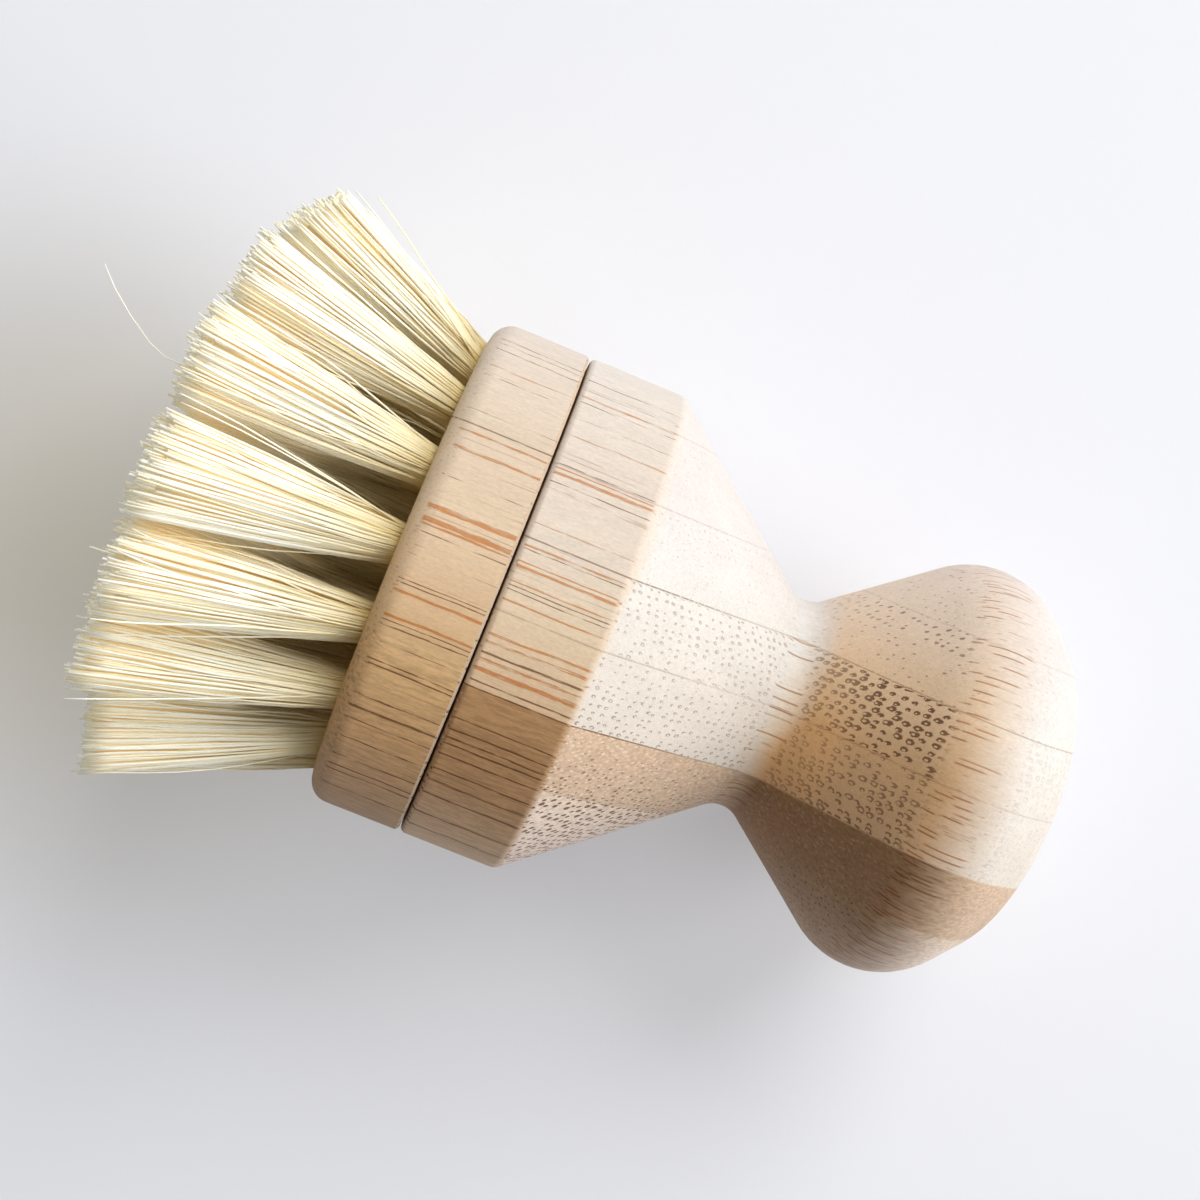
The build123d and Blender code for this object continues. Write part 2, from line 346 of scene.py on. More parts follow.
# Streaks of the rims: v in mm, half width in mm and depth of colour, first the broad orange ones and
# then the thin brown ones
HANDLE_STREAKS = (
    ((19.95, 0.10, 0.7), (16.0, 0.07, 0.7), (12.70, 0.07, 0.9), (12.25, 0.16, 0.9), (10.8, 0.12, 0.3),
     (7.6, 0.08, 0.5), (5.5, 0.10, 0.8), (4.05, 0.07, 1.0), (3.6, 0.14, 1.0), (2.2, 0.08, 0.9),
     (0.45, 0.08, 0.9), (-2.7, 0.12, 0.9), (-3.4, 0.16, 0.7), (-5.0, 0.16, 0.7), (-5.9, 0.22, 0.9)),
    ((21.8, 0.05, 0.6), (20.7, 0.04, 0.4), (19.4, 0.04, 0.5), (17.7, 0.04, 0.5), (13.1, 0.04, 0.7),
     (11.4, 0.05, 0.7), (5.2, 0.05, 0.6), (1.8, 0.05, 0.9), (1.4, 0.05, 0.7), (-4.4, 0.10, 0.9),
     (-7.0, 0.08, 0.8), (-10.7, 0.06, 0.9), (-11.8, 0.08, 0.9), (-12.6, 0.10, 0.7), (-13.2, 0.08, 0.9),
     (-14.3, 0.08, 0.8), (-15.8, 0.08, 0.8), (-17.0, 0.12, 0.6), (-18.4, 0.09, 0.8), (-20.6, 0.09, 0.7),
     (-22.4, 0.09, 0.6)),
)
HEAD_STREAKS = (
    ((19.3, 0.06, 0.6), (12.6, 0.11, 0.9), (11.0, 0.14, 0.9), (5.5, 0.24, 1.0), (4.3, 0.24, 1.0),
     (3.9, 0.12, 0.8), (1.1, 0.04, 0.5), (-2.25, 0.14, 1.0), (-4.5, 0.13, 1.0)),
    ((22.3, 0.05, 0.6), (21.8, 0.04, 0.5), (21.1, 0.05, 0.7), (18.3, 0.04, 0.4), (14.7, 0.04, 0.4),
     (8.35, 0.05, 0.4), (3.2, 0.05, 0.7), (-1.15, 0.05, 0.8), (-1.5, 0.06, 0.7), (-4.95, 0.05, 0.9),
     (-5.4, 0.08, 0.6), (-6.9, 0.05, 0.4), (-8.6, 0.07, 0.7), (-9.05, 0.08, 0.7), (-11.9, 0.09, 0.6),
     (-13.1, 0.12, 0.9), (-14.3, 0.06, 0.6), (-16.2, 0.07, 0.6), (-18.1, 0.08, 0.6), (-19.25, 0.07, 0.9),
     (-19.8, 0.07, 0.7), (-21.5, 0.09, 0.6)),
)
HALF_SPAN = 26.0
LINE_HALF_WIDTH = 0.10
BAND_END = 9.7
# The handle's strips lie turned by this many degrees about the axis
HANDLE_TURN = 3.3
# Share of the cut tone, with its painted highlight, against the flank's painted shade, along u in mm
LIT_CUT_SHARES = ((9.7, 0.4), (11.2, 1.0), (28.4, 1.0), (30.4, 0.75), (32.2, 0.0), (43.6, 0.0),
              (46.4, 0.45), (50.0, 1.0))
HANDLE_REACH = 58.0


def ramp_over(add, value, low, high, stops):
    """A colour ramp over a value that runs from low to high; stops are pairs of a value and a colour."""
    share = add("MapRange", {"Value": value, "From Min": low, "From Max": high})
    ramp = add("ValToRGB", [share])
    elements = ramp.color_ramp.elements
    elements[0].position, elements[0].color = 0.0, stops[0][1]
    elements[1].position, elements[1].color = 1.0, stops[-1][1]
    for place, stop in stops[1:-1]:
        elements.new((place - low) / (high - low)).color = stop
    return ramp


def bundle_stops(bundles, values):
    """Two ramp stops for each strip: the value at its lower side and the value at its upper side."""
    sides = [bundle[0] for bundle in bundles] + [HALF_SPAN]
    stops = []
    for lower, upper, (low_value, high_value) in zip(sides, sides[1:], values):
        stops += [(lower, low_value), (upper - 0.02, high_value)]
    return stops


print("strips: handle", len(HANDLE_BUNDLES), "head", len(HEAD_BUNDLES))

# %% [markdown]
# ### Where a point lies in the wood
#
# The pattern needs the place of each point along and across the brush in millimetres, a place that
# wanders a little, so that no thread runs quite straight, and whether the lathe cut the grain there. The
# Mapping node gives the first, a noise stretched along the grain the second, and the surface normal the
# third. One namespace carries them all to the next steps.

# %% Place in the wood
WANDER = 0.5
# Share of the surface normal that points along the grain: where it is cut, and where it lies along
CUT_NORMAL = 0.54
LYING_NORMAL = 0.36


def stretched_noise(add, wood, waves, detail, *fade):
    """Noise with its own number of waves per mm along u, v and w, eased where a fade is given."""
    spot = add("Mapping", {"Vector": wood.grain, "Location": (wood.seed,) * 3, "Scale": waves})
    noise = add("TexNoise", {"Vector": spot, "Scale": 1.0, "Detail": detail, "Roughness": 0.6})
    return add(EASE, [noise, *fade]) if fade else noise


def place_in_wood(add, turn, seed):
    """Place in mm: u along the grain, v across the strips, w along them; turn is the strips' angle."""
    coordinates = add("TexCoord")
    lying = add("Mapping TEXTURE", {"Vector": coordinates.outputs["Object"], "Location": seam_centre,
                                    "Rotation": (0, tilt, 0), "Scale": (MM, MM, MM)})
    grain = add("Mapping", {"Vector": lying, "Rotation": (math.radians(-turn), 0, 0)})
    place = add("SeparateXYZ", [grain])
    wood = SimpleNamespace(seed=seed, grain=grain, u=place.outputs["X"], v=place.outputs["Y"])

    wander = stretched_noise(add, wood, (0.07, 0.14, 0.14), 2.5).outputs["Color"]
    wander = add("VectorMath SUBTRACT", [wander, (0.5, 0.5, 0.5)])
    wandered = add("VectorMath MULTIPLY_ADD", [wander, (0, WANDER, WANDER), grain])
    wandered = add("SeparateXYZ", [wandered])
    wood.across = add("CombineXYZ", [wandered.outputs["Y"], wandered.outputs["Z"]])
    level = add("VectorMath MULTIPLY_ADD", [wander, (0, WANDER, 0), lying])
    wood.level = add("SeparateXYZ", [level]).outputs["Y"]

    facing = add("VectorMath DOT_PRODUCT", [coordinates.outputs["Normal"], axis_u])
    facing = add("Math ABSOLUTE", [facing])
    wood.along = add(EASE, [facing, CUT_NORMAL, LYING_NORMAL])
    wood.rough_edge = stretched_noise(add, wood, (0.5, 4.5, 4.5), 1.0)
    return wood


# %% [markdown]
# ### Fades along and across the brush
#
# Real wood has no hard borders except the glue lines, so each change along or across the brush is a
# smooth fade. All stand in one table: the axis, where the fade starts and ends in millimetres, and the
# values there unless they are 0 and 1. To move a border, only a number changes.

# %% Fades
FADES = {
    # The rim's streaks and its tone end where the cone begins
    "rim": ("u", BAND_END + 0.3, BAND_END - 0.3),
    "band_tone": ("u", BAND_END + 0.8, BAND_END - 0.4),
    # The cone's painted highlight reaches further up the neck on the lit side
    "neck_side": ("v", 8.0, 5.0, 0.0, 0.6),
    "neck_below": ("v", 2.0, -4.0, 0.0, 1.7),
    "neck_only": ("u", 38.0, 34.0),
    # The knob has bolder bundles than the cone, except in the two lowest strips
    "knob": ("u", 24.0, 33.0),
    "upper_strips": ("v", -6.3, -6.1),
    # Dashes: fewer on the crown than at the neck, where the strips above 7.5 mm have next to none
    "past_neck": ("u", 31.0, 33.0),
    "neck_dashes": ("v", 7.6, 7.4, 0.15, 1.0),
    # Coarse pores show in the two lowest strips
    "pores": ("v", -6.0, -6.4, 0.25, 1.0),
    # The neck's painted bounce light, a warmer tint
    "neck_start": ("u", 27.0, 30.0),
    "neck_end": ("u", 37.0, 32.5),
    "neck_top": ("v", 7.0, -1.0),
    "neck_bottom": ("v", -7.0, -5.0, 0.3, 1.0),
    # The eased edge of the head at the parting
    "parting_start": ("u", -0.7, -0.45),
    "parting_end": ("u", 0.1, -0.05),
    # How dark the spots are: on the cone by strip, on the knob and the head along u
    "cone_depth_low": ("v", -6.3, -6.1, 1.0, 0.85),
    "cone_depth_high": ("v", 0.8, 0.9, 1.0, 0.55),
    "swell_depth": ("u", 31.0, 37.0, 0.6, 1.0),
    "crown_depth": ("u", 45.0, 47.5, 1.0, 0.12),
    "head_edge_depth": ("u", -8.2, -7.2, 0.4, 1.0),
    # Glue lines fade along the cone, and on the knob only those above -5 mm show
    "cone_glue": ("u", 13.0, 25.0, 1.0, 0.45),
    "knob_glue": ("v", -5.6, -5.0, 0.0, 0.6),
}


def make_fades(add, wood):
    """One smooth Map Range node for each row of the table."""
    return SimpleNamespace(**{name: add(EASE, [getattr(wood, axis), *row])
                              for name, (axis, *row) in FADES.items()})


print("fades:", len(FADES))

# %% [markdown]
# ### Values of the strips
#
# A colour ramp holds four numbers at each stop, so one ramp over v can carry four values of a strip at
# once: red, green, blue and alpha are the share of bundles present, their radius, their pale heart and
# their darkness. Separate Color takes them apart again. Three more ramps carry the tones of the ground.

# %% Values of the strips


def add_strips(add, wood, fade, tones, bundles):
    """Add what the strips say at this point: values of the bundles, and the tone of the ground."""
    def over_v(stops):
        return ramp_over(add, wood.v, -HALF_SPAN, HALF_SPAN, stops)

    shares = over_v(bundle_stops(bundles, [(low, high) for *_, low, high in bundles]))
    parts = add("SeparateColor", [shares]).outputs
    wood.present, wood.radius, wood.heart = parts["Red"], parts["Green"], parts["Blue"]
    wood.dark = shares.outputs["Alpha"]
    spread = [((spacing, fleck, 0, 1),) * 2 for _, spacing, fleck, _, _ in bundles]
    spread = add("SeparateColor", [over_v(bundle_stops(bundles, spread))]).outputs
    wood.spacing, wood.fleck = spread["Red"], spread["Green"]

    # The ground: the band's tone, then by the table of shares the paler cut tone, with its painted
    # highlight, or the flank's tone with its painted shade
    band_tone, lit_cut_tone, shaded_flank_tone = (
        over_v([(row[0], colour(row[kind])) for row in tones]) for kind in (1, 2, 3))
    reach = add("Math ADD", [fade.neck_side, fade.neck_below])
    reach = add("Math ADD", [wood.u, product(add, reach, fade.neck_only)])
    lit_share = ramp_over(add, reach, LIT_CUT_SHARES[0][0], HANDLE_REACH, [
        (stop, (share, share, share, 1)) for stop, share in (*LIT_CUT_SHARES, (HANDLE_REACH, 1.0))])
    ground = add("Mix RGBA", [lit_share, shaded_flank_tone, lit_cut_tone])
    wood.tone = add("Mix RGBA", [fade.band_tone, ground, band_tone])


# %% [markdown]
# ### Fibre bundles
#
# The Voronoi texture cuts the plane of v and w into cells, one for each bundle. A cell's random colour
# decides whether its bundle is there, how thick it is and where its pale heart sits. The distance from
# the centre, in radii and roughened by a noise, draws the spot. For a dash it is split: the part along
# the surface makes it thin, and the part into the wood ends it where the bundle dives under.

# %% Fibre bundles
CELL_RANDOMNESS = 0.52
ROUGH_RIM = 0.24


def bundle_marks(add, wood, fade):
    """Spots where bundles are cut, and dashes where they lie along the surface."""
    scaled = add("VectorMath DIVIDE", [wood.across, wood.spacing])
    cells = add("TexVoronoi 2D", {"Vector": scaled, "Scale": 1.0, "Randomness": CELL_RANDOMNESS})
    own = cells.outputs["Color"]
    chance = wood.chance = add("SeparateColor", [own]).outputs
    present = add("Math LESS_THAN", [chance["Green"], wood.present])

    # Each bundle's own radius, and bolder bundles on the knob
    own_size = add(EASE, [chance["Red"], 0, 1, 0.75, 1.2])
    lower_growth = add(EASE, [fade.knob, 0, 1, 1.0, 0.45])
    upper_growth = add(EASE, [fade.knob, 0, 1, 0.58, 1.05])
    growth = add("Mix", [fade.upper_strips, lower_growth, upper_growth])
    radius = product(add, wood.radius, own_size, growth)

    # Spots: a disc with a rough edge, less its heart
    offset = add("VectorMath SUBTRACT", [scaled, cells.outputs["Position"]])
    offset = product(add, offset, wood.spacing, kind="VectorMath")
    in_radii = add("VectorMath DIVIDE", [offset, radius])
    size = add("VectorMath LENGTH", [in_radii])
    ragged = add(EASE, [wood.rough_edge, 0.2, 0.8, -ROUGH_RIM, ROUGH_RIM])
    size = add("Math ADD", [size, ragged])
    body = product(add, add(EASE, [size, 1.10, 0.85]), present)
    aside = add("VectorMath MULTIPLY_ADD", [own, (-0.6, -0.6, 0), (0.60, 0.52, 0)])
    from_heart = add("VectorMath ADD", [in_radii, aside])
    from_heart = add("VectorMath LENGTH", [from_heart])
    from_heart = add("Math DIVIDE", [from_heart, wood.heart])
    heart = add(EASE, [from_heart, 1.25, 0.85])
    spots = product(add, body, add("Math SUBTRACT", [1.0, heart]))

    # Dashes: thin across, and only as deep as the bundle; off the rim, and fewer on the crown
    outward = add("VectorMath NORMALIZE", [wood.across])
    deep = add("VectorMath DOT_PRODUCT", [offset, outward])
    deep = add("Math ABSOLUTE", [deep])
    aslant = add("VectorMath CROSS_PRODUCT", [offset, outward])
    aslant = add("VectorMath LENGTH", [aslant])
    thin = add(EASE, [aslant, 0.11, 0.05])
    shallow = add(EASE, [deep, 0.36, 0.20])
    off_rim = add("Math SUBTRACT", [1.0, wood.rim])
    own_end = add(EASE, [chance["Red"], 0.0, 1.0, -0.9, 0.9])
    reach = add("Math ADD", [wood.u, own_end])
    before_end = add(EASE, [reach, 46.4, 47.4, 1.0, 0.0])
    past_neck = add(EASE, [reach, 31.0, 33.0])
    by_strip = add("Mix", [past_neck, fade.neck_dashes, 1.0])
    dash_share = add("Mix", [fade.past_neck, 0.62, 0.35])
    chosen = add("Math SUBTRACT", [chance["Blue"], dash_share])
    chosen = add(EASE, [chosen, -0.1, 0.1])
    dashes = product(add, thin, shallow, off_rim, before_end, by_strip, chosen)
    return add("Mix", [wood.along, spots, dashes])


# %% [markdown]
# ### Fine threads and flecks
#
# Between the bundles run threads of about a tenth of a millimetre, in patches and broken, and where the
# lathe tore the soft tissue there are pale flecks. A second, finer Voronoi pattern gives both: its
# distance makes the threads along the grain, and its cells, chosen by chance, the flecks on cut surfaces.

# %% Fine threads
FINE_THREAD_SPACING = 0.52


def fine_threads(add, wood):
    """Broken fine threads, and pale flecks where the surface cuts the grain."""
    cells = add("VectorMath DIVIDE", [wood.across, (FINE_THREAD_SPACING,) * 3])
    cells = add("TexVoronoi 2D", {"Vector": cells, "Scale": 1.0}).outputs
    patches = stretched_noise(add, wood, (0.04, 0.35, 0.35), 1.0, 0.42, 0.55)
    broken = stretched_noise(add, wood, (0.30, 3.0, 3.0), 1.0, 0.38, 0.52)
    thin = add(EASE, [cells["Distance"], 0.16, 0.06])
    threads = product(add, thin, broken, patches)

    ragged = add(EASE, [wood.rough_edge, 0.2, 0.8, -0.12, 0.12])
    size = add("Math ADD", [cells["Distance"], ragged])
    size = add(EASE, [size, 0.27, 0.10])
    chance = add("SeparateColor", [cells["Color"]]).outputs["Blue"]
    chosen = add("Math LESS_THAN", [chance, wood.fleck])
    cut = add("Math SUBTRACT", [1.0, wood.along])
    return threads, product(add, size, chosen, cut)


# %% [markdown]
# ### The ground
#
# The soft tissue between the bundles is never one tone. Its strip's tone is scaled by three noises: a
# fine mottle, a slow drift, and coarse open pores in the two lowest strips. Two places get a tone of
# their own: the neck gets painted bounce light, a warmer tint, because the cone and the swell throw their
# light at each other, and the eased edge at the parting is paler.

# %% Ground


def wood_ground(add, wood, fade):
    """The colour of the wood without its marks; its fine mottle also roughens the surface."""
    wood.mottle = stretched_noise(add, wood, (2.2, 8.0, 8.0), 2.0)
    fine = add(EASE, [wood.mottle, 0.25, 0.75, 0.93, 1.07])
    drift = stretched_noise(add, wood, (0.05, 0.3, 0.3), 2.0, 0.25, 0.75, -0.03, 0.03)
    coarse = stretched_noise(add, wood, (0.5, 3.2, 3.2), 3.0, 0.35, 0.65, -0.13, 0.13)
    lightness = add("Math ADD", [fine, drift])
    lightness = add("Math ADD", [lightness, product(add, coarse, fade.pores)])
    ground = add("VectorMath SCALE", [wood.tone, lightness])

    # Painted bounce light: the neck is tinted warmer where the cone and the swell light each other
    neck = product(add, fade.neck_start, fade.neck_end, fade.neck_top, fade.neck_bottom)
    warmer = product(add, ground, (1.14, 1.05, 0.91), kind="VectorMath")
    ground = add("Mix RGBA", [neck, ground, warmer])
    cut = add("Math SUBTRACT", [1.0, wood.along])
    parting = product(add, fade.parting_start, fade.parting_end, cut)
    return add("Mix RGBA", [parting, ground, colour("#c0a88e")])


# %% [markdown]
# ### Marks, streaks and glue lines
#
# Each mark is laid on as the ground times a brown, so it takes up the tone of its strip; only the flecks
# are paler. The streaks of the rims come from their tables, three at a time, because one vector node
# works on three numbers at once, and a noise frays them. The glue lines are thin, brown and broken.

# %% Marks
# What each kind of mark leaves of the ground's red, green and blue
BROWNS = {"spot": (0.24, 0.17, 0.13), "dark_dash": (0.45, 0.28, 0.17), "bright_dash": (0.70, 0.40, 0.22),
          "thread": (0.55, 0.38, 0.26), "streak_edge": (0.52, 0.34, 0.22), "streak": (0.80, 0.46, 0.25),
          "thin_streak": (0.32, 0.22, 0.15), "glue": (0.34, 0.22, 0.13)}
# How much the noise wears off the broad and the thin streaks
ORANGE_FRAY = 0.65
BROWN_FRAY = 0.60


def lay_marks(add, wood, fade, brown):
    """Bundles, threads and flecks laid on the ground."""
    on_cone = product(add, fade.cone_depth_low, fade.cone_depth_high)
    depth = add("Mix", [fade.knob, on_cone, fade.swell_depth])
    depth = product(add, wood.marks, wood.dark, depth, fade.crown_depth, fade.head_edge_depth)
    spotted = add("Mix RGBA", [depth, wood.ground, brown.spot])
    dash_tone = add("Mix RGBA", [wood.chance["Green"], brown.dark_dash, brown.bright_dash])
    dashed = add("Mix RGBA", [product(add, wood.marks, 0.85), wood.ground, dash_tone])
    marked = add("Mix RGBA", [wood.along, spotted, dashed])

    thread_depth = product(add, wood.threads, add("Mix", [wood.along, 0.35, 0.55]))
    marked = add("Mix RGBA", [thread_depth, marked, brown.thread])
    fleck_depth = product(add, wood.flecks, add("Mix", [fade.knob, 0.60, 0.14]))
    return add("Mix RGBA", [fleck_depth, marked, colour("#f3dfc4")])


def drawn_streaks(add, wood, table, frayed, fray, full):
    """Lines along u at the table's places, three at a time; 1 in the middle of a line."""
    rows = list(table) + [(0.0, 0.01, 0.0)] * (-len(table) % 3)
    total = (0, 0, 0)
    for three in (rows[i:i + 3] for i in range(0, len(rows), 3)):
        spots, halves, depths = zip(*three)
        drawn = wood.level
        for operation, *values in (("SUBTRACT", spots), ("ABSOLUTE",), ("DIVIDE", halves),
                                   ("MULTIPLY_ADD", (-1.6, -1.6, -1.6), (2, 2, 2)),
                                   ("MINIMUM", (1, 1, 1)), ("MULTIPLY", depths)):
            drawn = add("VectorMath " + operation, [drawn, *values])
        total = add("VectorMath MAXIMUM", [total, drawn])
    parts = add("SeparateXYZ", [total]).outputs
    most = add("Math MAXIMUM", [parts["X"], parts["Y"]])
    most = add("Math MAXIMUM", [most, parts["Z"]])
    worn = add(EASE, [frayed, 0.35, 0.60, fray, 0.0])
    most = add("Math SUBTRACT", [most, worn])
    return add(EASE, [most, 0.0, full])


def lay_streaks(add, wood, brown, marked, streaks):
    """The rims' streaks: orange ones with brown edges, then thin brown ones."""
    frayed = stretched_noise(add, wood, (0.5, 7.0, 7.0), 3.0)
    orange = drawn_streaks(add, wood, streaks[0], frayed, ORANGE_FRAY, 0.7)
    thin = drawn_streaks(add, wood, streaks[1], frayed, BROWN_FRAY, 0.5)
    tone = add("Mix RGBA", [add(EASE, [orange, 0.35, 1.0]), brown.streak_edge, brown.streak])
    marked = add("Mix RGBA", [product(add, orange, wood.rim), marked, tone])
    return add("Mix RGBA", [product(add, thin, wood.rim, 0.95), marked, brown.thin_streak])


def glue_lines(add, wood, fade, lines):
    """Thin broken lines across the strips; 1 on a line."""
    glue = 0.0
    for spot, strength in lines:
        gap = add("Math SUBTRACT", [wood.v, spot])
        gap = add("Math ABSOLUTE", [gap])
        line = add(EASE, [gap, LINE_HALF_WIDTH, LINE_HALF_WIDTH * 0.4, 0.0, strength])
        glue = add("Math MAXIMUM", [glue, line])
    broken = add(EASE, [wood.rough_edge, 0.3, 0.5, 0.35, 1.0])
    by_place = add("Mix", [fade.knob, fade.cone_glue, fade.knob_glue])
    return product(add, glue, broken, by_place)


# %% [markdown]
# ### The bamboo material
#
# The wood is sanded but not varnished, so its sheen is weak and broad: a roughness of 0.6 with little
# specular. The marks are also hollows of a few hundredths of a millimetre, and the Bump node makes them
# catch the light. The handle and the head share one recipe, each with its own tables.

# %% Bamboo
BUMP_DEPTH = 0.03 * MM


def bamboo(name, tones, bundles, lines, streaks, turn, seed):
    """Laminated bamboo, turned with its grain along the brush and sanded smooth."""
    material, add = new_material(name)
    wood = place_in_wood(add, turn, seed)
    fade = make_fades(add, wood)
    wood.rim = product(add, fade.rim, wood.along)
    add_strips(add, wood, fade, tones, bundles)
    wood.marks = bundle_marks(add, wood, fade)
    wood.threads, wood.flecks = fine_threads(add, wood)
    wood.ground = wood_ground(add, wood, fade)
    brown = SimpleNamespace(**{mark: product(add, wood.ground, tint, kind="VectorMath")
                               for mark, tint in BROWNS.items()})
    marked = lay_streaks(add, wood, brown, lay_marks(add, wood, fade, brown), streaks)
    glue = glue_lines(add, wood, fade, lines)
    surface = add("Mix RGBA", [glue, marked, brown.glue])

    hollows = add("Math ADD", [wood.marks, glue])
    hollows = add("Math ADD", [hollows, product(add, wood.threads, 0.5)])
    height = add("Math SUBTRACT", [product(add, wood.mottle, 0.6), hollows])
    bump = add("Bump", {"Height": height, "Strength": 0.25, "Distance": BUMP_DEPTH})
    add("OutputMaterial", [add("BsdfPrincipled", {
        "Base Color": surface, "Roughness": 0.6, "IOR": 1.5, "Specular IOR Level": 0.3, "Normal": bump})])
    print(name, "has", len(material.node_tree.nodes), "nodes")
    return material


def finish_node(node, material):
    """Give a CAD node one material."""
    node.data.materials.clear()
    node.data.materials.append(material)


finish_node(handle, bamboo("turned_bamboo_handle", HANDLE_TONES, HANDLE_BUNDLES, HANDLE_LINES,
                           HANDLE_STREAKS, HANDLE_TURN, 1.0))
finish_node(block, bamboo("turned_bamboo_head", HEAD_TONES, HEAD_BUNDLES, HEAD_LINES,
                          HEAD_STREAKS, 0.0, 4.0))

# %% [markdown]
# ## Metal parts
#
# The joint inside is a zinc-plated steel bolt in a brass insert, and the tufts are held by flat steel
# wire. They only show when the head is off, but each still gets a real finish.

# %% Metals
# Streaks of a drawn or turned metal, about 1 mm apart, in cycles per metre
STREAK_GRAIN = 900.0


def metal(name, base, roughness):
    """A drawn or turned metal: full metallic, with fine streaks in its roughness."""
    material, add = new_material(name)
    place = add("TexCoord").outputs["Object"]
    streaks = add("TexNoise", {"Vector": place, "Scale": STREAK_GRAIN, "Detail": 4.0, "Roughness": 0.6})
    rough = add("MapRange", [streaks, 0.0, 1.0, roughness - 0.1, roughness + 0.15])
    add("OutputMaterial", [add("BsdfPrincipled", {
        "Base Color": colour(base), "Metallic": 1.0, "Roughness": rough})])
    return material


# Steel with a bright zinc coat: pale, slightly blue, with soft reflections on the threads
finish_node(frame["nodes"]["joining_stud"], metal("zinc_plated_steel", "#b9bcc0", 0.35))
# Brass as it comes from the lathe: warm yellow with clear reflections
finish_node(frame["nodes"]["threaded_insert"], metal("turned_brass", "#c9a45c", 0.30))
# Bare steel wire, rolled flat: a duller grey
finish_node(frame["nodes"]["tuft_anchors"], metal("drawn_steel_wire", "#a9abad", 0.40))
print("metal pieces finished: 3")

# %% [markdown]
# ## Plant-fibre tufts
#
# The fibre is a stiff pale plant fibre, such as agave, scraped from the leaf and dried. It is a matte cream
# with a soft gloss along each fibre, and thin enough for light to soak through. Between the fibres it
# turns to straw yellow and then brown, because light gets there only after it has passed from fibre to
# fibre. Three painted stand-ins do that: painted shade as a warmer, darker tint towards the hole, which
# also holds the fibre's own browning there; painted shade as a warmer tint wherever the ambient occlusion
# node finds the surroundings closed; and a faint painted glow towards the free ends, for the light that
# passes through. Real subsurface scattering goes grey in tubes this thin.
#
# There are two tints, because there are two kinds of geometry. A loose fibre has one tint, picked by
# chance. The core of a tuft is one solid, so its fibres are drawn on it: the Voronoi pattern makes
# round ends side by side on the cut face, and along the core the same cells run into lines.

# %% Fibre finish
# How far the painted gap shade looks for neighbours: about the width of the gap between two tufts
GAP_SHADE_REACH = 4.0 * MM


def between(add, value, start, end, first, last):
    """A colour that goes from first to last while the value goes from start to end."""
    return add("Mix VECTOR", [add("MapRange", [value, start, end]), first, last])


def fibre_shade(name, tint):
    """Dried plant fibre, matte cream with a soft gloss; painted shade at the hole and in gaps, painted glow
    at the ends.
    """
    material, add = new_material(name)
    bundle = add("Attribute", attribute_name="bundle").outputs["Vector"]
    length = add("SeparateXYZ", [bundle]).outputs["Z"]
    # Painted shade, with some of the fibre's own browning: warmer and darker towards the hole
    root = between(add, length, 0.0, 0.5, (0.74, 0.63, 0.39), (1, 1, 1))
    # Painted shade: warmer and darker where the occlusion finds the surroundings closed
    openness = add("AmbientOcclusion", {"Distance": GAP_SHADE_REACH}, samples=4).outputs["AO"]
    gap = between(add, openness, 0.05, 0.45, (1.0, 0.80, 0.38), (1, 1, 1))
    # Painted glow towards the free ends, for the light that passes through the fibres
    painted_glow = add("MapRange", [length, 0.35, 1.0, 0.0, 0.13])
    add("OutputMaterial", [add("BsdfPrincipled", {
        "Base Color": product(add, tint(add, bundle), root, gap, kind="VectorMath"),
        "Roughness": 0.45, "IOR": 1.5, "Specular IOR Level": 0.3,
        "Emission Color": (1.0, 0.93, 0.74, 1), "Emission Strength": painted_glow})])
    return material


def tint_ramp(add, value, tints):
    """A colour ramp over a value from 0 to 1; tints are pairs of a value and a hex colour."""
    return ramp_over(add, value, 0.0, 1.0, [(place, colour(tint)) for place, tint in tints])


def single_tint(add, bundle):
    """Each loose fibre has a tint of its own."""
    return tint_ramp(add, add("NewGeometry").outputs["Random Per Island"], (
        (0.0, "#f5e8bc"), (0.06, "#faf1cf"), (0.30, "#fdf9e2"), (0.65, "#fefced"), (1.0, "#fffef5")))


def packed_tint_with_gap_shade(add, bundle):
    """Round fibre ends side by side, with painted shade in the gaps between them, cream to brown; along the
    tuft they make lines.
    """
    ends = add("TexVoronoi 2D", {"Vector": bundle, "Scale": 1.0})
    # The brown stops are painted shade in the gaps between the fibres
    return tint_ramp(add, ends, (
        (0.0, "#fdf9e2"), (0.35, "#faf1cf"), (0.60, "#e6cf97"), (1.0, "#c6a263")))


fibre_material = fibre_shade("pale_agave_fibre", single_tint)
packed_material = fibre_shade("packed_agave_fibre", packed_tint_with_gap_shade)
print("fibre finishes:", fibre_material.name, "and", packed_material.name)

# %% [markdown]
# ## The tufts
#
# A tuft is a bundle of fibres, folded in half and pushed into its hole, where a wire holds it. It widens
# towards its trimmed end. About a thousand fibres go into each, far more than a file can carry for 35
# tufts. But only the skin shows, so a tuft is made of three groups of tubes: a skin of two layers of thin
# five-sided fibres, short ends that show on the cut face, and one thick core that fills the inside. Hair
# strands would be lighter to edit, but they don't leave the file as a mesh.
#
# The root and the trimmed end of every tuft are measured on its CAD node, so the fibres grow where the
# part has them. Some tufts of the brush have spread or lean a little, and a table holds by how much.

# %% Sizes of the tufts
HOLE_RADIUS = 2.0 * MM
TIP_RADIUS = {"outer": 4.4 * MM, "middle": 4.6 * MM, "inner": 4.5 * MM}
# How far the trimmed ends of a ring stand out beyond the outer ring's, and how they slope away from
# the axis, as on a slightly domed brush
TRIM_RISE = {"outer": 0.0, "middle": 2.0 * MM, "inner": 2.8 * MM}
TRIM_SLOPE = {"outer": 0.12, "middle": 0.05, "inner": 0.0}
